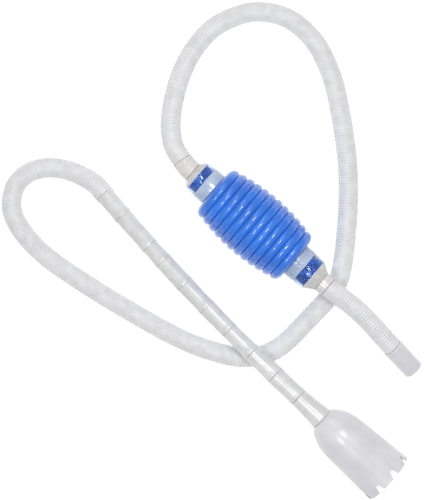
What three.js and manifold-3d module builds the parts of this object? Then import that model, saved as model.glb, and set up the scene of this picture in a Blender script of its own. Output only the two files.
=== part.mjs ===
// Siphon bulb pump: a hand-squeezed accordion bulb with a check valve at each end, a long corrugated intake
// hose with a rigid stem and a bell nozzle, and a short outlet hose.
// Millimetres. +X runs along the bulb from inlet to outlet and +Z is up. The pump lies on the plane z = 0.
import * as THREE from 'three';
import { mergeVertices } from 'three/addons/utils/BufferGeometryUtils.js';
import Module from 'manifold-3d';

const wasm = await Module();
wasm.setup();

// ---- Driving dimensions ----

const GAP = 0.3; // between pieces that touch
const FINE = 24; // sides of the bulb, valves and nozzle
const COARSE = 16; // sides of the stem pieces, cuffs, gaskets and discs

const BULB_X = -56.4; // centre of the bulb
const BULB_Y = 44;
const RIBS = 12;
const RIB_PITCH = 7.76;
const CREST_R = 31.2; // at the bulb's middle
const END_CREST_R = 26;
const GROOVE_DEPTH = 2.2;
const BULB_HALF = 47.4; // from the centre to an end face
const FLANK_HALF = 2.1; // from a rib's crest line to the edge of its rounded top
const FLANK_DROP = 0.7;
const BULB_WALL = 1.5;
const SHOULDER_R = 20.5; // edge of the flat end face
const SHOULDER_INNER_R = 19.5;
const NECK_R = 13;
const NECK_BORE_R = 11;
const NECK_LENGTH = 8;
const BULB_Z = CREST_R; // the bulb lies on its belly

// Each valve is measured outwards from the bulb's end face.
const INLET = { collarR: 15.6, collarEnd: 11.1, capR: 14.7, capEnd: 20.4, coneEnd: 24.4, barbEnd: 32.5 };
const OUTLET = { collarR: 16.1, collarEnd: 10.4, capR: 15.3, capEnd: 22, coneEnd: 30, barbEnd: 36.5 };
const COLLAR_BORE_R = 13.3;
const COLLAR_TAPER = 0.3;
const CAP_WALL = 1.4;
const CAP_EDGE_LENGTH = 1.5; // the sloped edge where the cap's side meets its cone
const CAP_EDGE_DROP = 0.9;
const CAP_INNER_EDGE_DROP = 1.2;
const CAP_CONE_R = 9.45; // where the cone meets the barb
const GASKET_START = 8.3;
const GASKET_END = 9.7;
const SEAT_START = 10;
const SEAT_WALL = 2.5;
const SEAT_LIP = 2.4;
const SEAT_END_CLEARANCE = 1.7; // from the end of the seat to the end of the cap's side
const WEB_THICKNESS = 1.8;
const INLET_WEB = 14.6; // start of the seat's spoked web
const OUTLET_WEB = 12.2;
const HUB_R = 2.6;
const HUB_BORE_R = 1.6;
const OVERCUT = 1; // how far a cutter runs past what it cuts
const SPOKE_ROOT = 0.5; // how far a spoke runs into the seat's wall
const DISC_R = 9.4;
const DISC_THICKNESS = 1.2;
const DISC_PIN_R = 1.2;
const DISC_PIN_LENGTH = 6;

const HOSE_R = 9.25;
const HOSE_BORE_R = 8.4;
const HOSE_SIDES = 10;
const BARB_R = 7;
const BARB_BORE_R = 5.8;
const CUFF_R = 9.5;
const CUFF_BORE_R = 8.4;
const OUTLET_CUFF_LENGTH = 7.3;
const END_CUFF_LENGTH = 30;
const END_CUFF_FLARE = 3; // length over which the cuff widens from the hose
const END_CUFF_TIP_R = 9.1;
const END_CUFF_BORE_R = 6.8;
const END_CUFF_SPIGOT_R = 7.6;
const END_CUFF_SPIGOT_LENGTH = 8;
const END_CUFF_YAW = -6;
const END_CUFF_DROOP = 18;

const STEM_START = [-175.9, -22.2, 10.3]; // where the intake hose meets the stem
const STEM_YAW = -8.7; // degrees
const STEM_PITCH = 5.4;
const YAW_PER_JOINT = 0.73;
const PITCH_PER_JOINT = -1.6; // from the joint before the hose crossing, where the stem sags
const FIRST_SAGGING_JOINT = 6;
const SPIGOT_R = 6.6;
const SPIGOT_LENGTH = 6.5;
const STEM_BORE_R = 5.7;
const SOCKET_R = 7;
const SOCKET_DEPTH = 7.2;
const RING_WIDTH = 3;
const RING_HEIGHT = 0.4;
const SECTION_LENGTH = 28.4;
const STEM_PIECES = [
  { name: 'stem_hose_barb', length: 25.3, startR: 8.4, endR: 8.2 },
  { name: 'stem_coupler', length: 36.5, startR: 8.2, endR: 7.8 },
  { name: 'stem_section_1', length: 18.3, startR: 7.6, endR: 8.1 },
  { name: 'stem_section_2', length: SECTION_LENGTH, startR: 8.2, endR: 8.2 },
  { name: 'stem_section_3', length: SECTION_LENGTH, startR: 8.2, endR: 7.9 },
  { name: 'stem_section_4', length: SECTION_LENGTH, startR: 8.2, endR: 7.7 },
  { name: 'stem_section_5', length: SECTION_LENGTH, startR: 7.6, endR: 8 },
  { name: 'stem_section_6', length: SECTION_LENGTH, startR: 8.1, endR: 8.4 },
  { name: 'stem_section_7', length: SECTION_LENGTH, startR: 8.6, endR: 8.5 },
  { name: 'stem_section_8', length: SECTION_LENGTH, startR: 8.6, endR: 10.3 },
];
const STEM_BARB_LENGTH = 5;
const STOP_RING_R = 9.5;
const STOP_RING_WIDTH = 2;

const NOZZLE_LENGTH = 80;
const NOZZLE_WALL = 1.6;
const NOZZLE_BACK = 0.5; // where the dome's back face stands
const NOZZLE_THROAT = 2.2; // where the bore opens into the dome
const NOZZLE_PROFILE = [ // outside of the dome and bell, [along, radius]
  [NOZZLE_BACK, 10.6], [3, 14], [8.5, 17.6], [14, 20.1], [20, 21.5], [27, 22.4], [NOZZLE_LENGTH, 24.9],
];
const NOTCHES = 8;
const NOTCH_DEPTH = 6.7;
const NOTCH_MOUTH = 7.5;
const NOTCH_FLOOR = 3.5;
const FIRST_NOTCH = 29.5; // degrees from straight up, towards -Y
const NOTCH_OVERCUT = 2;
const NOTCH_BAR_WIDTH = 60; // wider than the mouth

// Routes from the pump outwards. The soft inlet cuff bends with the start of its hose.
const INLET_CUFF_ROUTE = [
  [-128.5, 44.0, 31.2], [-131.5, 44.0, 31.2], [-134.9, 44.3, 31.1],
  [-138.5, 44.9, 30.9], [-141.6, 45.7, 30.5],
];
const INLET_CUFF_STEPS = 4;
const INLET_HOSE_ROUTE = [
  [-141.9, 45.8, 30.4], [-148.9, 47.6, 29.6], [-155.9, 50.4, 28.5], [-168.0, 60.0, 25.4],
  [-177.6, 72.4, 21.2], [-185.7, 86.1, 16.8], [-192.2, 100.4, 13.0], [-197.0, 115.2, 10.6],
  [-199.6, 130.6, 9.5], [-199.8, 146.3, 9.3], [-196.8, 161.6, 9.3], [-181.1, 188.4, 9.3],
  [-154.4, 204.2, 9.3], [-123.3, 204.4, 9.3], [-94.4, 193.0, 9.3], [-68.7, 175.3, 9.3],
  [-22.2, 133.6, 9.3], [16.3, 84.6, 9.3], [32.4, 57.9, 9.3], [36.2, 42.8, 9.3],
  [35.4, 11.5, 9.3], [32.9, -19.6, 9.3], [28.0, -34.4, 9.3], [19.0, -47.1, 9.3],
  [6.9, -57.1, 9.3], [-21.3, -70.3, 9.3], [-51.3, -79.1, 9.3], [-143.4, -95.1, 9.3],
  [-190.0, -98.2, 9.3], [-220.6, -92.1, 9.3], [-233.7, -83.3, 9.3], [-241.3, -69.6, 9.3],
  [-241.1, -53.7, 9.3], [-233.3, -40.1, 9.3], [-221.1, -30.2, 9.3], [-206.7, -23.9, 9.3],
  [-191.3, -20.8, 9.3], [-186.6, -20.7, 9.4], [-181.8, -21.3, 9.7], [-176.2, -22.2, 10.3],
];
const INLET_HOSE_STEPS = 36;
const OUTLET_HOSE_ROUTE = [
  [28.9, 44.0, 31.2], [32.9, 44.0, 31.2], [39.1, 44.3, 31.0], [45.3, 44.8, 30.7],
  [51.4, 45.3, 30.2], [57.1, 45.5, 29.6], [62.8, 45.5, 28.8], [68.4, 45.3, 28.0],
  [74.1, 44.8, 27.0], [79.7, 44.2, 25.9], [85.4, 43.6, 24.6], [91.0, 42.9, 23.2],
  [96.7, 42.2, 21.7], [102.4, 41.5, 20.1], [107.8, 40.9, 18.4],
];
const OUTLET_HOSE_STEPS = 5;

// ---- Materials ----

const BLUE = { color: 0x286fd8, roughness: 0.32, metalness: 0 };
const VALVE_BLUE = { color: 0x2350b0, roughness: 0.35, metalness: 0 };
const CLEAR = { color: 0xd3d6da, roughness: 0.25, metalness: 0 };
const HOSE = { color: 0xdcdbdc, roughness: 0.4, metalness: 0 };
const STEM = { color: 0xdad8d6, roughness: 0.45, metalness: 0 };
const FROSTED = { color: 0xd2d1da, roughness: 0.5, metalness: 0 };
const SILICONE = { color: 0xb9bcc0, roughness: 0.6, metalness: 0 };

// ---- Geometry helpers ----

const radians = THREE.MathUtils.degToRad;

// Turns an outline of [along X, radius] points about the X axis. The outline runs along its outer side
// towards +X. An outline that doesn't start on the axis is closed back to its first point.
function turned(outline, sides = FINE) {
  const onAxis = outline[0][1] === 0;
  const closed = onAxis ? outline : [...outline, outline[0]];
  const points = closed.map(([along, radius]) => new THREE.Vector2(radius, along));
  return new THREE.LatheGeometry(points, sides).rotateZ(-Math.PI / 2);
}

function toManifold(geometry) {
  const bare = geometry.clone();
  bare.deleteAttribute('normal');
  bare.deleteAttribute('uv');
  const merged = mergeVertices(bare, 1e-4);
  const vertProperties = new Float32Array(merged.attributes.position.array);
  const triVerts = withoutSlivers(Array.from(merged.index.array));
  return new wasm.Manifold(new wasm.Mesh({ numProp: 3, vertProperties, triVerts }));
}

// Leaves out triangles that use one vertex twice, as a turned outline has on the axis.
function withoutSlivers(index) {
  const kept = [];
  for (let i = 0; i < index.length; i += 3) {
    const [a, b, c] = index.slice(i, i + 3);
    if (a !== b && b !== c && c !== a) kept.push(a, b, c);
  }
  return new Uint32Array(kept);
}

function fromManifold(solid) {
  const { vertProperties, triVerts } = solid.getMesh();
  const geometry = new THREE.BufferGeometry();
  geometry.setAttribute('position', new THREE.BufferAttribute(vertProperties, 3));
  geometry.setIndex(new THREE.BufferAttribute(triVerts, 1));
  geometry.computeVertexNormals();
  return geometry;
}

function makeMesh(name, geometry, look) {
  const mesh = new THREE.Mesh(geometry, new THREE.MeshStandardMaterial(look));
  mesh.name = name;
  return mesh;
}

// A group whose +X is turned to the left by yaw and upwards by pitch, in degrees.
function aimed(position, yaw, pitch) {
  const group = new THREE.Group();
  group.position.set(...position);
  group.rotation.set(0, -radians(pitch), radians(yaw), 'ZYX');
  return group;
}

// ---- Bulb ----

function ribX(rib) {
  return (rib - (RIBS - 1) / 2) * RIB_PITCH;
}

function crestRadius(x) {
  const share = x / ribX(RIBS - 1);
  return CREST_R - (CREST_R - END_CREST_R) * share * share;
}

function bellowsOuter() {
  const points = [];
  for (let rib = 0; rib < RIBS; rib += 1) {
    const x = ribX(rib);
    const crest = crestRadius(x);
    points.push([x - FLANK_HALF, crest - FLANK_DROP], [x, crest], [x + FLANK_HALF, crest - FLANK_DROP]);
    const groove = x + RIB_PITCH / 2;
    if (rib < RIBS - 1) points.push([groove, crestRadius(groove) - GROOVE_DEPTH]);
  }
  return points;
}

function bellowsInner() {
  const points = [];
  for (let rib = RIBS - 1; rib >= 0; rib -= 1) {
    const x = ribX(rib);
    points.push([x, crestRadius(x) - BULB_WALL]);
    const groove = x - RIB_PITCH / 2;
    if (rib > 0) points.push([groove, crestRadius(groove) - GROOVE_DEPTH - BULB_WALL]);
  }
  return points;
}

function makeBellows() {
  const end = BULB_HALF + NECK_LENGTH;
  const inside = BULB_HALF - BULB_WALL;
  const outline = [
    [-end, NECK_R], [-BULB_HALF, NECK_R], [-BULB_HALF, SHOULDER_R],
    ...bellowsOuter(),
    [BULB_HALF, SHOULDER_R], [BULB_HALF, NECK_R], [end, NECK_R],
    [end, NECK_BORE_R], [inside, NECK_BORE_R], [inside, SHOULDER_INNER_R],
    ...bellowsInner(),
    [-inside, SHOULDER_INNER_R], [-inside, NECK_BORE_R], [-end, NECK_BORE_R],
  ];
  return makeMesh('bulb_bellows', turned(outline), BLUE);
}

// ---- Check valves, built pointing along +X from the bulb's end face ----

function collarOutline({ collarR, collarEnd }) {
  const start = GAP;
  const end = collarEnd - GAP / 2;
  return [
    [start, collarR], [end, collarR - COLLAR_TAPER], [end, COLLAR_BORE_R], [start, COLLAR_BORE_R],
  ];
}

function capOutline({ collarEnd, capR, capEnd, coneEnd, barbEnd }) {
  const start = collarEnd + GAP / 2;
  const edge = capEnd - CAP_EDGE_LENGTH;
  const bore = capR - CAP_WALL;
  return [
    [start, capR], [edge, capR], [capEnd, capR - CAP_EDGE_DROP],
    [coneEnd, CAP_CONE_R], [coneEnd, BARB_R], [barbEnd, BARB_R],
    [barbEnd, BARB_BORE_R], [coneEnd - CAP_WALL, BARB_BORE_R], [capEnd, bore - CAP_INNER_EDGE_DROP],
    [edge, bore], [start, bore],
  ];
}

function seatSolid({ collarEnd, capR, capEnd }, webStart) {
  const outer = capR - CAP_WALL - GAP;
  const shoulder = collarEnd + GAP;
  const spigot = COLLAR_BORE_R - GAP;
  const end = capEnd - SEAT_END_CLEARANCE;
  const inner = spigot - SEAT_WALL;
  const lip = inner - SEAT_LIP;
  const webEnd = webStart + WEB_THICKNESS;
  const ring = [
    [SEAT_START, spigot], [shoulder, spigot], [shoulder, outer], [end, outer],
    [end, inner], [webEnd, inner], [webEnd, lip], [webStart, lip], [webStart, inner], [SEAT_START, inner],
  ];
  const webMiddle = (webStart + webEnd) / 2;
  const spoke = new THREE.BoxGeometry(WEB_THICKNESS, 2 * (inner + SPOKE_ROOT), WEB_THICKNESS);
  const upright = spoke.clone().rotateX(Math.PI / 2);
  const hub = turned([[webStart, 0], [webStart, HUB_R], [webEnd, HUB_R], [webEnd, 0]], COARSE);
  const cutStart = webStart - OVERCUT;
  const cutEnd = webEnd + OVERCUT;
  const cut = [[cutStart, 0], [cutStart, HUB_BORE_R], [cutEnd, HUB_BORE_R], [cutEnd, 0]];
  return toManifold(turned(ring))
    .add(toManifold(spoke.translate(webMiddle, 0, 0)))
    .add(toManifold(upright.translate(webMiddle, 0, 0)))
    .add(toManifold(hub))
    .subtract(toManifold(turned(cut, COARSE)));
}

function gasketOutline() {
  return [
    [GASKET_START, NECK_R], [GASKET_END, NECK_R], [GASKET_END, NECK_BORE_R], [GASKET_START, NECK_BORE_R],
  ];
}

// The disc lies on the side of the web that the water leaves by, with its pin through the hub.
function discOutline(webStart, opensOutwards) {
  if (opensOutwards) {
    const face = webStart + WEB_THICKNESS + GAP;
    const back = face + DISC_THICKNESS;
    const pin = face - DISC_PIN_LENGTH;
    return [[pin, 0], [pin, DISC_PIN_R], [face, DISC_PIN_R], [face, DISC_R], [back, DISC_R], [back, 0]];
  }
  const face = webStart - GAP;
  const back = face - DISC_THICKNESS;
  const pin = face + DISC_PIN_LENGTH;
  return [[back, 0], [back, DISC_R], [face, DISC_R], [face, DISC_PIN_R], [pin, DISC_PIN_R], [pin, 0]];
}

function makeValve(side, sizes, webStart, opensOutwards) {
  const valve = new THREE.Group();
  const disc = turned(discOutline(webStart, opensOutwards), COARSE);
  valve.add(
    makeMesh(`${side}_valve_collar`, turned(collarOutline(sizes)), CLEAR),
    makeMesh(`${side}_valve_gasket`, turned(gasketOutline(), COARSE), SILICONE),
    makeMesh(`${side}_valve_seat`, fromManifold(seatSolid(sizes, webStart)), VALVE_BLUE),
    makeMesh(`${side}_valve_disc`, disc, SILICONE),
    makeMesh(`${side}_valve_cap`, turned(capOutline(sizes)), CLEAR),
  );
  return valve;
}

// ---- Hoses and their cuffs ----

function cuffOutline(length) {
  return [[0, CUFF_R], [length, HOSE_R], [length, CUFF_BORE_R], [0, CUFF_BORE_R]];
}

function endCuffOutline() {
  return [
    [-END_CUFF_SPIGOT_LENGTH, END_CUFF_SPIGOT_R], [GAP, END_CUFF_SPIGOT_R], [GAP, HOSE_R],
    [END_CUFF_FLARE, CUFF_R], [END_CUFF_LENGTH, END_CUFF_TIP_R], [END_CUFF_LENGTH, END_CUFF_BORE_R],
    [-END_CUFF_SPIGOT_LENGTH, END_CUFF_BORE_R],
  ];
}

function ringShape(outer, inner, sides) {
  const shape = new THREE.Shape();
  const hole = new THREE.Path();
  for (let side = 0; side < sides; side += 1) {
    const angle = (2 * Math.PI * side) / sides;
    const place = side === 0 ? 'moveTo' : 'lineTo';
    shape[place](outer * Math.cos(angle), outer * Math.sin(angle));
    hole[place](inner * Math.cos(angle), inner * Math.sin(angle));
  }
  shape.holes.push(hole);
  return shape;
}

function makeTube(name, section, route, steps, look) {
  const points = route.map((place) => new THREE.Vector3(...place));
  const extrudePath = new THREE.CatmullRomCurve3(points);
  return makeMesh(name, new THREE.ExtrudeGeometry(section, { steps, extrudePath }), look);
}

// ---- Stem: each piece plugs into the socket of the one before it ----

function stemOutline({ length, startR, endR }) {
  const end = length - GAP;
  const ring = end - RING_WIDTH;
  return [
    [-SPIGOT_LENGTH, SPIGOT_R], [GAP, SPIGOT_R], [GAP, startR], [ring, endR], [ring, endR + RING_HEIGHT],
    [end, endR + RING_HEIGHT], [end, SOCKET_R], [end - SOCKET_DEPTH, SOCKET_R],
    [end - SOCKET_DEPTH, STEM_BORE_R], [-SPIGOT_LENGTH, STEM_BORE_R],
  ];
}

function hoseBarbOutline({ length, startR, endR }) {
  const end = length - GAP;
  const ring = end - RING_WIDTH;
  return [
    [-STEM_BARB_LENGTH, BARB_R], [GAP, BARB_R], [GAP, STOP_RING_R], [STOP_RING_WIDTH, STOP_RING_R],
    [STOP_RING_WIDTH, startR], [ring, endR], [ring, endR + RING_HEIGHT], [end, endR + RING_HEIGHT],
    [end, SOCKET_R], [end - SOCKET_DEPTH, SOCKET_R], [end - SOCKET_DEPTH, STEM_BORE_R],
    [-STEM_BARB_LENGTH, STEM_BORE_R],
  ];
}

function nozzleOutline() {
  const inner = NOZZLE_PROFILE.slice(1).reverse().map(([along, radius]) => [along, radius - NOZZLE_WALL]);
  return [
    [-SPIGOT_LENGTH, SPIGOT_R], [NOZZLE_BACK, SPIGOT_R], ...NOZZLE_PROFILE, ...inner,
    [NOZZLE_THROAT, STEM_BORE_R], [-SPIGOT_LENGTH, STEM_BORE_R],
  ];
}

// A bar across the mouth that cuts two notches opposite each other.
function notchBar(angle) {
  const floor = NOZZLE_LENGTH - NOTCH_DEPTH;
  const past = NOZZLE_LENGTH + NOTCH_OVERCUT;
  const spread = ((NOTCH_MOUTH - NOTCH_FLOOR) / 2 / NOTCH_DEPTH) * (past - floor);
  const shape = new THREE.Shape();
  shape.moveTo(floor, -NOTCH_FLOOR / 2);
  shape.lineTo(past, -NOTCH_FLOOR / 2 - spread);
  shape.lineTo(past, NOTCH_FLOOR / 2 + spread);
  shape.lineTo(floor, NOTCH_FLOOR / 2);
  const bar = new THREE.ExtrudeGeometry(shape, { depth: NOTCH_BAR_WIDTH, bevelEnabled: false });
  return bar.translate(0, 0, -NOTCH_BAR_WIDTH / 2).rotateX(angle);
}

function makeNozzle() {
  let solid = toManifold(turned(nozzleOutline()));
  for (let bar = 0; bar < NOTCHES / 2; bar += 1) {
    const angle = radians(FIRST_NOTCH + (360 / NOTCHES) * bar);
    solid = solid.subtract(toManifold(notchBar(angle)));
  }
  return makeMesh('gravel_nozzle', fromManifold(solid), FROSTED);
}

function makeStem() {
  const stem = aimed(STEM_START, STEM_YAW, STEM_PITCH);
  let joint = stem;
  STEM_PIECES.forEach((piece, place) => {
    const outline = place === 0 ? hoseBarbOutline(piece) : stemOutline(piece);
    joint.add(makeMesh(piece.name, turned(outline, COARSE), STEM));
    const sag = place + 1 >= FIRST_SAGGING_JOINT ? PITCH_PER_JOINT : 0;
    const next = aimed([piece.length, 0, 0], YAW_PER_JOINT, sag);
    joint.add(next);
    joint = next;
  });
  joint.add(makeNozzle());
  return stem;
}

// ---- Assembly ----

function makePump() {
  const pump = new THREE.Group();

  const bulb = new THREE.Group();
  bulb.position.set(BULB_X, BULB_Y, BULB_Z);
  bulb.add(makeBellows());
  pump.add(bulb);

  const inletValve = makeValve('inlet', INLET, INLET_WEB, false);
  inletValve.position.x = -BULB_HALF;
  inletValve.rotation.z = Math.PI;
  bulb.add(inletValve);

  const outletValve = makeValve('outlet', OUTLET, OUTLET_WEB, true);
  outletValve.position.x = BULB_HALF;
  const outletCuff = new THREE.Group();
  outletCuff.position.x = OUTLET.coneEnd + GAP;
  outletCuff.add(makeMesh('outlet_hose_cuff', turned(cuffOutline(OUTLET_CUFF_LENGTH), COARSE), CLEAR));
  outletValve.add(outletCuff);
  bulb.add(outletValve);

  const cuff = ringShape(CUFF_R, CUFF_BORE_R, COARSE);
  const hose = ringShape(HOSE_R, HOSE_BORE_R, HOSE_SIDES);
  pump.add(
    makeTube('inlet_hose_cuff', cuff, INLET_CUFF_ROUTE, INLET_CUFF_STEPS, CLEAR),
    makeTube('inlet_hose', hose, INLET_HOSE_ROUTE, INLET_HOSE_STEPS, HOSE),
    makeTube('outlet_hose', hose, OUTLET_HOSE_ROUTE, OUTLET_HOSE_STEPS, HOSE),
  );

  const hoseEnd = OUTLET_HOSE_ROUTE[OUTLET_HOSE_ROUTE.length - 1];
  const endCuff = aimed(hoseEnd, END_CUFF_YAW, -END_CUFF_DROOP);
  endCuff.add(makeMesh('outlet_end_cuff', turned(endCuffOutline(), COARSE), FROSTED));
  pump.add(endCuff);

  pump.add(makeStem());
  return pump;
}

export default makePump();
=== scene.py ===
"""Siphon bulb pump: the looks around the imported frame. Metres, in the frame of the CAD."""
import math

import bmesh
import bpy
import numpy as np
from mathutils import Matrix, Vector


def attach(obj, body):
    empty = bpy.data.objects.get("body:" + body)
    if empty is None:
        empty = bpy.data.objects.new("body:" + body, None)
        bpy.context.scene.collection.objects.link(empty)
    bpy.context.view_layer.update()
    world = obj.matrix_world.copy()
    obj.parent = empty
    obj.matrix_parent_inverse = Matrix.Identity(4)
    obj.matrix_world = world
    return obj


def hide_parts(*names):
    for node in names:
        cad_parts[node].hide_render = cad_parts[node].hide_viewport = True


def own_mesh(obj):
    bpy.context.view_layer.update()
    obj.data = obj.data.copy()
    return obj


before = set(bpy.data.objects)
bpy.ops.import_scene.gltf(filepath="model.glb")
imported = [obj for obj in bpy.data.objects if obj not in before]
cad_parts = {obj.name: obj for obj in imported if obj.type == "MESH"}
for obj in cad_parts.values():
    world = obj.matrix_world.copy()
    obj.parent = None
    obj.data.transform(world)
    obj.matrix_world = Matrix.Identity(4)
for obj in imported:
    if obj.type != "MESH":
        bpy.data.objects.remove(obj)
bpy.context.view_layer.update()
MM = 0.001

# ---- Camera, floor and light ----

VIEW_RIGHT = Vector((0.761, 0.649, 0.0))
VIEW_UP = Vector((-0.649, 0.761, 0.0))
EYE = Vector((-0.0706, 0.0024, 2.16))
VIEW_HEIGHT = 0.45  # of the floor that the picture takes in
SENSOR = 36.0
FLOOR_HALF = 4.0
FLOOR_DROP = 0.0004  # keeps the floor just under whatever stands on it
PRODUCT_MIDDLE = (-0.056, 0.044, 0.03)

scene = bpy.context.scene
scene.view_settings.view_transform = "Standard"


def add_camera():
    data = bpy.data.cameras.new("camera")
    data.sensor_fit = "VERTICAL"
    data.sensor_height = SENSOR
    data.lens = SENSOR * EYE.z / VIEW_HEIGHT
    data.clip_end = 20.0
    camera = bpy.data.objects.new("camera", data)
    scene.collection.objects.link(camera)
    back = VIEW_RIGHT.normalized().cross(VIEW_UP.normalized())
    turn = Matrix((VIEW_RIGHT.normalized(), VIEW_UP.normalized(), back)).transposed()
    camera.matrix_world = Matrix.Translation(EYE) @ turn.to_4x4()
    scene.camera = camera


def add_light(name, place, target, size, power):
    data = bpy.data.lights.new(name, "AREA")
    data.shape = "RECTANGLE"
    data.size, data.size_y = size
    data.energy = power
    light = bpy.data.objects.new(name, data)
    scene.collection.objects.link(light)
    aim = (Vector(target) - Vector(place)).to_track_quat("-Z", "Y")
    light.matrix_world = Matrix.Translation(Vector(place)) @ aim.to_matrix().to_4x4()


def add_studio():
    mesh = bpy.data.meshes.new("floor")
    corners = [(x * FLOOR_HALF, y * FLOOR_HALF, 0) for x, y in ((-1, -1), (1, -1), (1, 1), (-1, 1))]
    mesh.from_pydata(corners, [], [(0, 1, 2, 3)])
    floor = bpy.data.objects.new("floor", mesh)
    scene.collection.objects.link(floor)
    floor.location.z = -FLOOR_DROP
    material = bpy.data.materials.new("studio_floor")
    material.use_nodes = True
    shader = material.node_tree.nodes["Principled BSDF"]
    shader.inputs["Base Color"].default_value = (0.45, 0.45, 0.45, 1)
    shader.inputs["Emission Color"].default_value = (1.0, 1.0, 1.0, 1)
    shader.inputs["Emission Strength"].default_value = 0.77
    shader.inputs["Roughness"].default_value = 0.9
    shader.inputs["Specular IOR Level"].default_value = 0.1
    mesh.materials.append(material)

    world = bpy.data.worlds.new("studio")
    world.use_nodes = True
    background = world.node_tree.nodes["Background"]
    background.inputs["Color"].default_value = (1.0, 1.0, 1.0, 1)
    background.inputs["Strength"].default_value = 0.4
    scene.world = world

    add_light("upper_softbox", (-0.07, 0.30, 1.30), PRODUCT_MIDDLE, (0.16, 0.36), 6.0)
    add_light("lower_softbox", (0.02, -0.40, 1.25), PRODUCT_MIDDLE, (0.16, 0.36), 4.4)
    add_light("side_softbox", (-1.3, 0.9, 1.3), (0, 0, 0), (0.9, 0.9), 5.0)


# ---- Shapes, in millimetres ----


def place_at(position, yaw=0.0, pitch=0.0):
    """A frame whose +X is turned to the left by yaw and upwards by pitch, in degrees."""
    turn = Matrix.Rotation(math.radians(yaw), 4, "Z") @ Matrix.Rotation(-math.radians(pitch), 4, "Y")
    return Matrix.Translation(Vector(position)) @ turn


def softened(outline, radius, steps=3):
    """Rounds every corner of a closed outline of (along, radius) points."""
    rounded = []
    count = len(outline)
    for i in range(count):
        before, corner, after = (Vector(outline[(i + k) % count]) for k in (-1, 0, 1))
        start = corner + (before - corner).normalized() * min(radius, (before - corner).length * 0.45)
        end = corner + (after - corner).normalized() * min(radius, (after - corner).length * 0.45)
        for k in range(steps + 1):
            t = k / steps
            rounded.append(tuple(start.lerp(corner, t).lerp(corner.lerp(end, t), t)))
    return rounded


def finish_mesh(name, vertices, faces, sharp=38.0):
    """Makes a linked object in metres. Faces point outwards, and edges over `sharp` degrees stay crisp."""
    mesh = bpy.data.meshes.new(name)
    mesh.from_pydata([tuple(Vector(v) * MM) for v in vertices], [], faces)
    made = bmesh.new()
    made.from_mesh(mesh)
    bmesh.ops.remove_doubles(made, verts=made.verts, dist=1e-7)
    bmesh.ops.recalc_face_normals(made, faces=made.faces)
    for face in made.faces:
        face.smooth = True
    for edge in made.edges:
        if len(edge.link_faces) == 2:
            edge.smooth = edge.calc_face_angle(0.0) < math.radians(sharp)
    made.to_mesh(mesh)
    made.free()
    piece = bpy.data.objects.new(name, mesh)
    scene.collection.objects.link(piece)
    return piece


def revolve(name, outline, where, sides=64, sharp=38.0):
    """A closed outline of (along, radius) points turned about the X axis of the frame `where`."""
    vertices, faces = [], []
    count = len(outline)
    for side in range(sides):
        angle = 2 * math.pi * side / sides
        for along, radius in outline:
            vertices.append(where @ Vector((along, radius * math.sin(angle), radius * math.cos(angle))))
    for side in range(sides):
        here, there = side * count, ((side + 1) % sides) * count
        for i in range(count):
            j = (i + 1) % count
            faces.append((here + i, here + j, there + j, there + i))
    return finish_mesh(name, vertices, faces, sharp)


def curve_points(route, step):
    """Points about `step` mm apart on a Catmull-Rom curve through the route, and their distances."""
    route = np.array(route, float)
    route = np.vstack([2 * route[0] - route[1], route, 2 * route[-1] - route[-2]])
    fine = []
    for i in range(1, len(route) - 2):
        p0, p1, p2, p3 = route[i - 1 : i + 3]
        d0, d1, d2 = (np.linalg.norm(b - a) ** 0.5 for a, b in ((p0, p1), (p1, p2), (p2, p3)))
        m1 = ((p1 - p0) / d0 - (p2 - p0) / (d0 + d1) + (p2 - p1) / d1) * d1
        m2 = ((p2 - p1) / d1 - (p3 - p1) / (d1 + d2) + (p3 - p2) / d2) * d1
        t = np.linspace(0, 1, 60, endpoint=False)[:, None]
        fine.append(
            p1 + m1 * t + (3 * (p2 - p1) - 2 * m1 - m2) * t**2 + (2 * (p1 - p2) + m1 + m2) * t**3
        )
    fine = np.vstack(fine + [route[-2:-1]])
    run = np.concatenate([[0], np.cumsum(np.linalg.norm(np.diff(fine, axis=0), axis=1))])
    count = max(2, round(run[-1] / step) + 1)
    at = np.linspace(0, run[-1], count)
    return np.stack([np.interp(at, run, fine[:, k]) for k in range(3)], axis=1), at


def rings_along(points):
    """For each point two directions across the curve, turned as little as possible from one to the next."""
    ahead = np.gradient(points, axis=0)
    ahead /= np.linalg.norm(ahead, axis=1)[:, None]
    across = np.zeros_like(points)
    side = np.cross((0, 0, 1), ahead[0])
    for i, direction in enumerate(ahead):
        side = side - direction * side.dot(direction)
        side /= np.linalg.norm(side)
        across[i] = side
    return across, np.cross(ahead, across)


def tube(name, points, radius_of, bore, sides=24, bore_step=6):
    """A hollow tube along the points, with radius_of giving its outer radius. The bore has fewer rings."""
    across, above = rings_along(points)
    inner_rings = sorted(set(range(0, len(points), bore_step)) | {len(points) - 1}, reverse=True)
    rings = [(i, radius_of(i)) for i in range(len(points))] + [(i, bore) for i in inner_rings]
    vertices, faces = [], []
    for i, radius in rings:
        for side in range(sides):
            angle = 2 * math.pi * side / sides
            vertices.append(points[i] + radius * (math.cos(angle) * across[i] + math.sin(angle) * above[i]))
    for ring in range(len(rings)):
        here, there = ring * sides, ((ring + 1) % len(rings)) * sides
        for side in range(sides):
            after = (side + 1) % sides
            faces.append((here + side, here + after, there + after, there + side))
    return finish_mesh(name, vertices, faces, 60.0)


# ---- Materials ----


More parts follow.
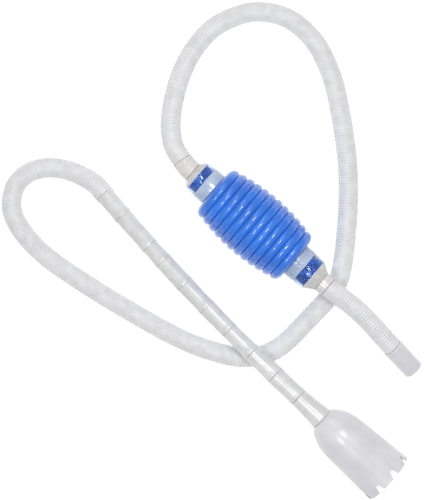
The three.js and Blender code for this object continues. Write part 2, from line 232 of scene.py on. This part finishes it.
def plastic(name, colours, roughness, cloud, grain, bump, **constants):
    """A moulded plastic: clouds between two colours, uneven gloss and a fine grain.

    `cloud` and `grain` are noise scales in object coordinates. `constants` are further shader sockets.
    """
    material = bpy.data.materials.new(name)
    material.use_nodes = True
    tree = material.node_tree
    shader = tree.nodes["Principled BSDF"]
    place = tree.nodes.new("ShaderNodeTexCoord")
    clouds = tree.nodes.new("ShaderNodeTexNoise")
    clouds.inputs["Scale"].default_value = cloud
    clouds.inputs["Detail"].default_value = 4.0
    tree.links.new(place.outputs["Object"], clouds.inputs["Vector"])
    ramp = tree.nodes.new("ShaderNodeValToRGB")
    ramp.color_ramp.elements[0].position = 0.35
    ramp.color_ramp.elements[1].position = 0.65
    ramp.color_ramp.elements[0].color = (*colours[0], 1)
    ramp.color_ramp.elements[1].color = (*colours[1], 1)
    tree.links.new(clouds.outputs["Fac"], ramp.inputs["Fac"])
    tree.links.new(ramp.outputs["Color"], shader.inputs["Base Color"])
    gloss = tree.nodes.new("ShaderNodeMapRange")
    gloss.inputs["To Min"].default_value = roughness[0]
    gloss.inputs["To Max"].default_value = roughness[1]
    tree.links.new(clouds.outputs["Fac"], gloss.inputs["Value"])
    tree.links.new(gloss.outputs["Result"], shader.inputs["Roughness"])
    fine = tree.nodes.new("ShaderNodeTexNoise")
    fine.inputs["Scale"].default_value = grain
    fine.inputs["Detail"].default_value = 2.0
    tree.links.new(place.outputs["Object"], fine.inputs["Vector"])
    rough = tree.nodes.new("ShaderNodeBump")
    rough.inputs["Strength"].default_value = bump
    rough.inputs["Distance"].default_value = 0.0004
    tree.links.new(fine.outputs["Fac"], rough.inputs["Height"])
    tree.links.new(rough.outputs["Normal"], shader.inputs["Normal"])
    for socket, value in constants.items():
        shader.inputs[socket.replace("_", " ")].default_value = value
    return material


BULB = plastic(
    "bulb_rubber", [(0.006, 0.135, 0.64), (0.012, 0.18, 0.76)], (0.42, 0.52), 45, 700, 0.05,
    Coat_Weight=0.9, Coat_Roughness=0.11, Specular_IOR_Level=0.7,
)
SEAT = plastic("valve_blue", [(0.006, 0.12, 0.6), (0.02, 0.2, 0.74)], (0.2, 0.3), 120, 900, 0.03)
CLEAR = plastic(
    "clear_plastic", [(0.6, 0.74, 0.93), (0.7, 0.82, 0.96)], (0.05, 0.12), 90, 500, 0.04,
    Transmission_Weight=0.97, IOR=1.3,
)
MILKY = plastic(
    "milky_plastic", [(0.76, 0.76, 0.77), (0.84, 0.84, 0.85)], (0.14, 0.22), 90, 500, 0.04,
    Transmission_Weight=0.3, IOR=1.42,
)
COLLAR = plastic(
    "collar_plastic", [(0.46, 0.58, 0.78), (0.6, 0.7, 0.86)], (0.16, 0.26), 90, 500, 0.05,
    Transmission_Weight=0.2, IOR=1.42, Coat_Weight=0.4, Coat_Roughness=0.08,
)
FILM = plastic(
    "hose_film", [(0.69, 0.69, 0.70), (0.77, 0.77, 0.78)], (0.3, 0.42), 130, 1400, 0.05,
)
TAIL = plastic("cuff_plastic", [(0.66, 0.645, 0.635), (0.74, 0.73, 0.72)], (0.16, 0.24), 110, 600, 0.04)
STEM = plastic(
    "stem_plastic", [(0.64, 0.64, 0.64), (0.72, 0.72, 0.72)], (0.22, 0.34), 120, 900, 0.05,
    Coat_Weight=0.2, Coat_Roughness=0.2,
)
FROST = plastic(
    "frosted_plastic", [(0.64, 0.635, 0.67), (0.70, 0.69, 0.725)], (0.3, 0.42), 70, 700, 0.05,
    Coat_Weight=0.25, Coat_Roughness=0.18,
)
SILICONE = plastic("silicone", [(0.55, 0.56, 0.58), (0.66, 0.67, 0.68)], (0.5, 0.62), 200, 1200, 0.05)


def settle(piece, body, material, slot, *nodes):
    """Paints a piece, hands it to its body and hides the CAD nodes that it stands for."""
    piece.data.materials.clear()
    piece.data.materials.append(material)
    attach(piece, body)
    if nodes:
        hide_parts(*nodes)
    return piece


# ---- Hoses ----

HOSE_R = 9.25
HOSE_GROOVE_R = 8.5
HOSE_BORE_R = 7.9
HOSE_PITCH = 2.55
RINGS_PER_RIB = 5

# The routes are those of the CAD, from the pump outwards.
INLET_HOSE_ROUTE = [
    (-141.9, 45.8, 30.4), (-148.9, 47.6, 29.6), (-155.9, 50.4, 28.5), (-168.0, 60.0, 25.4),
    (-177.6, 72.4, 21.2), (-185.7, 86.1, 16.8), (-192.2, 100.4, 13.0), (-197.0, 115.2, 10.6),
    (-199.6, 130.6, 9.5), (-199.8, 146.3, 9.3), (-196.8, 161.6, 9.3), (-181.1, 188.4, 9.3),
    (-154.4, 204.2, 9.3), (-123.3, 204.4, 9.3), (-94.4, 193.0, 9.3), (-68.7, 175.3, 9.3),
    (-22.2, 133.6, 9.3), (16.3, 84.6, 9.3), (32.4, 57.9, 9.3), (36.2, 42.8, 9.3),
    (35.4, 11.5, 9.3), (32.9, -19.6, 9.3), (28.0, -34.4, 9.3), (19.0, -47.1, 9.3),
    (6.9, -57.1, 9.3), (-21.3, -70.3, 9.3), (-51.3, -79.1, 9.3), (-143.4, -95.1, 9.3),
    (-190.0, -98.2, 9.3), (-220.6, -92.1, 9.3), (-233.7, -83.3, 9.3), (-241.3, -69.6, 9.3),
    (-241.1, -53.7, 9.3), (-233.3, -40.1, 9.3), (-221.1, -30.2, 9.3), (-206.7, -23.9, 9.3),
    (-191.3, -20.8, 9.3), (-186.6, -20.7, 9.4), (-181.8, -21.3, 9.7), (-176.2, -22.2, 10.3),
]
OUTLET_HOSE_ROUTE = [
    (28.9, 44.0, 31.2), (32.9, 44.0, 31.2), (39.1, 44.3, 31.0), (45.3, 44.8, 30.7),
    (51.4, 45.3, 30.2), (57.1, 45.5, 29.6), (62.8, 45.5, 28.8), (68.4, 45.3, 28.0),
    (74.1, 44.8, 27.0), (79.7, 44.2, 25.9), (85.4, 43.6, 24.6), (91.0, 42.9, 23.2),
    (96.7, 42.2, 21.7), (102.4, 41.5, 20.1), (107.8, 40.9, 18.4),
]


def corrugated(name, route, body, replaced):
    """A corrugated hose, the points that it follows and its length in metres."""
    points, run = curve_points(route, HOSE_PITCH / RINGS_PER_RIB)

    def radius_of(ring):
        crest = 0.5 + 0.5 * math.cos(2 * math.pi * ring / RINGS_PER_RIB)
        return HOSE_GROOVE_R + (HOSE_R - HOSE_GROOVE_R) * crest

    hose = settle(tube(name, points, radius_of, HOSE_BORE_R), body, FILM, "hose_film", replaced)
    return hose, points * MM, float(run[-1]) * MM


def add_hoses():
    """The long intake hose and the short outlet hose, both corrugated tubes. The outlet
    hose is too short to be one.
    """
    hose, points, length = corrugated("intake_hose_film", INLET_HOSE_ROUTE, "inlet_side", "inlet_hose")
    tuple(float(v) for v in points[0])
    [tuple(float(v) for v in p) for p in points]
    corrugated("outlet_hose_film", OUTLET_HOSE_ROUTE, "outlet_side", "outlet_hose")


# ---- Bulb ----

BULB_AT = Vector((-56.4, 44.0, 31.2))
BULB_HALF = 47.4
RIBS = 12
RIB_PITCH = 7.76
CREST_R = 31.2
END_CREST_R = 26.0
GROOVE = 2.3
WALL = 1.5
NECK_R = 13.0
NECK_BORE_R = 11.0
STEPS_PER_RIB = 14
RIB_FULLNESS = 0.97  # how much of a half circle each rib's outline takes
SHOULDER_R = 20.0
NECK_LENGTH = 8.0


def crest_radius(x):
    share = x / ((RIBS - 1) / 2 * RIB_PITCH)
    return CREST_R - (CREST_R - END_CREST_R) * share * share


def bellows_outline():
    outer, inner = [], []
    for rib in range(RIBS):
        middle = (rib - (RIBS - 1) / 2) * RIB_PITCH
        for k in range(STEPS_PER_RIB + 1):
            if rib and k == 0:
                continue
            u = 2 * k / STEPS_PER_RIB - 1
            drop = (1 - math.sqrt(1 - (RIB_FULLNESS * u) ** 2)) / (1 - math.sqrt(1 - RIB_FULLNESS**2))
            x = middle + u * RIB_PITCH / 2
            outer.append((x, crest_radius(x) - GROOVE * drop))
        inner.append((middle, crest_radius(middle) - WALL))
        if rib < RIBS - 1:
            groove = middle + RIB_PITCH / 2
            inner.append((groove, crest_radius(groove) - GROOVE - WALL))
    shoulder = [(BULB_HALF - 0.12, SHOULDER_R + 1.4), (BULB_HALF, SHOULDER_R), (BULB_HALF, NECK_R - 0.2)]
    back = [(BULB_HALF - WALL, NECK_R - 0.2), (BULB_HALF - WALL, SHOULDER_R - 0.5)]
    front_shoulder, front = ([(-x, radius) for x, radius in side[::-1]] for side in (shoulder, back))
    return front_shoulder + outer + shoulder + back + inner[::-1] + front


def add_bulb():
    middle = Matrix.Translation(BULB_AT)
    bellows = revolve("bellows_skin", bellows_outline(), middle, 112, 50.0)
    settle(bellows, "inlet_side", BULB, "bulb_rubber", "bulb_bellows")
    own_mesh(bellows)
    for side, body, turn in (("inlet", "inlet_side", 180), ("outlet", "outlet_side", 0)):
        where = middle @ Matrix.Rotation(math.radians(turn), 4, "Z")
        outline = [
            (BULB_HALF - WALL, NECK_R - 0.3), (BULB_HALF, NECK_R - 0.3), (BULB_HALF, NECK_R),
            (BULB_HALF + NECK_LENGTH, NECK_R), (BULB_HALF + NECK_LENGTH, NECK_BORE_R),
            (BULB_HALF - WALL, NECK_BORE_R),
        ]
        neck = revolve(f"{side}_neck_thread", softened(outline, 0.25), where, 64)
        settle(neck, body, BULB, "bulb_rubber")


# ---- Check valves ----

INLET = dict(collar_r=15.6, collar_end=11.1, cap_r=14.7, cap_end=20.4, cone_end=24.4, barb_end=32.5)
OUTLET = dict(collar_r=16.1, collar_end=10.4, cap_r=15.3, cap_end=22.0, cone_end=30.0, barb_end=36.5)
THREAD_RINGS, THREAD_PITCH, THREAD_DEPTH = 6, 1.25, 0.35
COLLAR_BORE_R = 13.3
CAP_WALL = 1.4
BARB_R, BARB_BORE_R = 7.0, 5.8


def collar_outline(size, thread):
    """The collar's side, with fine ring lines where the thread shows through."""
    start, end, radius = 0.3, size["collar_end"] - 0.15, size["collar_r"]
    outer = [(start, radius - 0.5), (start + 0.5, radius)]
    if thread:
        for k in range(THREAD_RINGS):
            x = start + 1.6 + k * THREAD_PITCH
            outer += [(x, radius), (x + 0.3, radius - THREAD_DEPTH), (x + 0.6, radius)]
    outer += [(end - 0.5, radius - 0.2), (end, radius - 0.6)]
    return outer + [(end, COLLAR_BORE_R), (start, COLLAR_BORE_R)]


def cap_outline(size):
    start, radius, end = size["collar_end"] + 0.15, size["cap_r"], size["cap_end"]
    bore, cone = radius - CAP_WALL, size["cone_end"]
    return [
        (start, radius), (end - 1.5, radius), (end, radius - 0.9), (cone, 9.45), (cone, BARB_R),
        (size["barb_end"], BARB_R), (size["barb_end"], BARB_BORE_R), (cone - CAP_WALL, BARB_BORE_R),
        (end, bore - 1.2), (end - 1.5, bore), (start, bore),
    ]


def add_valve(side, size, body, turn):
    where = (
        Matrix.Translation(BULB_AT)
        @ Matrix.Rotation(math.radians(turn), 4, "Z")
        @ Matrix.Translation((BULB_HALF, 0, 0))
    )
    collar_edge = softened(collar_outline(size, side == "outlet"), 0.25)
    collar = revolve(f"{side}_collar_shell", collar_edge, where, 72)
    settle(collar, body, COLLAR, "clear_plastic", f"{side}_valve_collar")
    cap = revolve(f"{side}_cap_shell", softened(cap_outline(size), 0.3), where, 72)
    settle(cap, body, CLEAR, "clear_plastic", f"{side}_valve_cap")
    cap.data.materials.append(MILKY)
    base = where.inverted()
    cone_from = size["cap_end"] - 1.6
    for face in cap.data.polygons:
        along = (base @ (face.center / MM)).x
        face.material_index = int(along > cone_from)


# ---- Cuffs ----


def add_cuffs():
    route = [
        (-128.5, 44.0, 31.2), (-131.5, 44.0, 31.2), (-134.9, 44.3, 31.1),
        (-138.5, 44.9, 30.9), (-141.6, 45.7, 30.5),
    ]
    points, _ = curve_points(route, 0.45)
    last = len(points) - 1

    def inlet_radius(ring):
        share = ring / last
        bead = 0.2 * math.exp(-(((share - 0.86) * 12) ** 2))
        return 9.5 - 0.35 * share + bead - (0.35 if ring in (0, last) else 0.0)

    inlet = tube("inlet_cuff_skin", points, inlet_radius, 8.4, 56, 4)
    settle(inlet, "inlet_side", TAIL, "clear_plastic", "inlet_hose_cuff")
    where = place_at((21.3, 44.0, 31.2))
    outline = [(0, 9.5), (5.6, 9.32), (6.0, 9.45), (6.6, 9.45), (7.3, 9.2), (7.3, 8.4), (0, 8.4)]
    outlet = revolve("outlet_cuff_skin", softened(outline, 0.25), where, 56)
    settle(outlet, "outlet_side", TAIL, "clear_plastic", "outlet_hose_cuff")


def add_end_cuff():
    where = place_at((107.8, 40.9, 18.4), -6.0, -18.0)
    outline = [
        (-8, 7.6), (0.3, 7.6), (0.3, 9.2), (1.2, 9.55), (2.4, 9.6), (3.2, 9.4), (5, 9.42), (14, 9.3),
        (28.4, 9.1), (30, 9.1), (30, 6.8), (-8, 6.8),
    ]
    cuff = revolve("outlet_end_skin", softened(outline, 0.45), where, 64)
    settle(cuff, "outlet_side", FROST, "frosted_plastic", "outlet_end_cuff")


# ---- Stem and nozzle ----

STEM_START = (-175.9, -22.2, 10.3)
STEM_YAW, STEM_PITCH = -8.7, 5.4
YAW_PER_JOINT, SAG_PER_JOINT, FIRST_SAGGING_JOINT = 0.73, -1.6, 6
# Name, length, radius at the start and radius at the end.
STEM_PIECES = [
    ("stem_hose_barb", 25.3, 8.4, 8.2), ("stem_coupler", 36.5, 8.2, 7.8),
    ("stem_section_1", 18.3, 7.6, 8.1), ("stem_section_2", 28.4, 8.2, 8.2),
    ("stem_section_3", 28.4, 8.2, 7.9), ("stem_section_4", 28.4, 8.2, 7.7),
    ("stem_section_5", 28.4, 7.6, 8.0), ("stem_section_6", 28.4, 8.1, 8.4),
    ("stem_section_7", 28.4, 8.6, 8.5), ("stem_section_8", 28.4, 8.6, 10.3),
]
SPIGOT_R, SPIGOT_LENGTH, STEM_BORE_R = 6.6, 6.5, 5.7
SOCKET_R, SOCKET_DEPTH = 7.0, 7.2


def stem_outline(place, length, start_r, end_r):
    end = length - 0.02
    if place == 0:
        outer = [(-5, 7.0), (-0.2, 7.0), (-0.2, 9.1), (1.6, 9.1), (3.2, start_r)]
        back = -5
    else:
        outer = [(-SPIGOT_LENGTH, SPIGOT_R), (0.02, SPIGOT_R), (0.02, start_r - 0.1), (1.0, start_r)]
        back = -SPIGOT_LENGTH
    ring = end - 3
    for k in range(1, 6):
        share = k / 6
        waist = -0.12 * math.sin(math.pi * share)
        x = 2.4 + (ring - 2.4) * share
        outer.append((x, start_r + (end_r - start_r) * share + waist))
    if place == len(STEM_PIECES) - 1:
        outer += [(ring, end_r), (end, end_r + 0.5)]
    else:
        outer += [(ring - 0.3, end_r), (ring + 0.3, end_r + 0.3), (end, end_r + 0.25)]
    shelf = end - SOCKET_DEPTH
    return outer + [(end, SOCKET_R), (shelf, SOCKET_R), (shelf, STEM_BORE_R), (back, STEM_BORE_R)]


NOZZLE_PROFILE = [
    (-6.5, 6.6), (0.03, 6.6), (0.05, 10.5), (0.7, 11.1), (1.7, 12.4), (3, 14), (5.4, 15.9), (8.5, 17.6),
    (11, 18.95), (14, 20.1), (17, 20.95), (20, 21.5), (23.5, 22.0), (27, 22.4), (40, 23.0), (55, 23.75),
    (70, 24.45), (80, 24.9),
]
NOTCHES, NOTCH_DEPTH, NOTCH_FLOOR, NOTCH_MOUTH, FIRST_NOTCH = 8, 6.7, 3.5, 7.5, 29.5
MOUTH_R = 24.1
NOZZLE_BORE = [
    (-6.5, 5.7), (2.0, 5.7), (2.6, 9.0), (4.0, 13.0), (6.2, 14.9), (9.0, 16.2), (14, 18.5), (20, 19.9),
    (27, 20.8), (40, 21.4), (55, 22.15), (70, 22.85), (80, 23.3),
]
CUT_FROM = 55.0  # the wall from here to the rim is pulled back to make the notches
TAB_STEPS = 8


def notch_cut(angle):
    """How far the rim is cut back at an angle, in degrees from straight up towards -Y."""
    spacing = 360 / NOTCHES
    off = (angle - FIRST_NOTCH + spacing / 2) % spacing - spacing / 2
    arc = abs(math.radians(off)) * MOUTH_R
    share = (NOTCH_MOUTH / 2 - arc) / ((NOTCH_MOUTH - NOTCH_FLOOR) / 2)
    share = min(max(share, 0.0), 1.0)
    return NOTCH_DEPTH * share


def nozzle_angles():
    """Angles round the rim, with one at each corner of each notch."""
    floor, mouth = (math.degrees(w / 2 / MOUTH_R) for w in (NOTCH_FLOOR, NOTCH_MOUTH))
    angles = []
    for notch in range(NOTCHES):
        middle = FIRST_NOTCH + notch * 360 / NOTCHES
        flank = (floor, (mouth + floor) / 2, mouth * 0.75 + floor * 0.25, mouth)
        angles += [middle - off for off in flank[::-1]]
        angles += [middle - floor * 0.5, middle, middle + floor * 0.5]
        angles += [middle + off for off in flank]
        tab = 360 / NOTCHES - 2 * mouth
        angles += [middle + mouth + tab * k / TAB_STEPS for k in range(1, TAB_STEPS)]
    return angles


def add_nozzle(where):
    angles = nozzle_angles()
    outline = NOZZLE_PROFILE + NOZZLE_BORE[::-1]
    rim = NOZZLE_PROFILE[-1][0]
    vertices, faces = [], []
    for angle in angles:
        turn = math.radians(angle)
        cut = notch_cut(angle)
        for x, radius in outline:
            pulled = x - cut * max((x - CUT_FROM) / (rim - CUT_FROM), 0)
            vertices.append(where @ Vector((pulled, -radius * math.sin(turn), radius * math.cos(turn))))
    count = len(outline)
    for i in range(len(angles)):
        here, there = i * count, ((i + 1) % len(angles)) * count
        for k in range(count):
            after = (k + 1) % count
            faces.append((here + k, here + after, there + after, there + k))
    nozzle = finish_mesh("nozzle_bell", vertices, faces, 42.0)
    settle(nozzle, "inlet_side", FROST, "frosted_plastic", "gravel_nozzle")


def add_stem():
    where = place_at(STEM_START, STEM_YAW, STEM_PITCH)
    for place, (name, length, start_r, end_r) in enumerate(STEM_PIECES):
        outline = softened(stem_outline(place, length, start_r, end_r), 0.22, 2)
        piece = revolve(f"{name}_skin", outline, where, 56)
        settle(piece, "inlet_side", STEM, "stem_plastic", name)
        sag = SAG_PER_JOINT if place + 1 >= FIRST_SAGGING_JOINT else 0.0
        where = where @ place_at((length, 0, 0), YAW_PER_JOINT, sag)
    add_nozzle(where)


def paint_inner_pieces():
    """The valve's inside pieces keep their CAD shape and get their own finishes."""
    for side in ("inlet", "outlet"):
        for part, material in (("seat", SEAT), ("gasket", SILICONE), ("disc", SILICONE)):
            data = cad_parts[f"{side}_valve_{part}"].data
            data.materials.clear()
            data.materials.append(material)


add_camera()
add_studio()
add_hoses()
add_end_cuff()
add_cuffs()
add_bulb()
add_valve("inlet", INLET, "inlet_side", 180)
add_valve("outlet", OUTLET, "outlet_side", 0)
add_stem()
paint_inner_pieces()
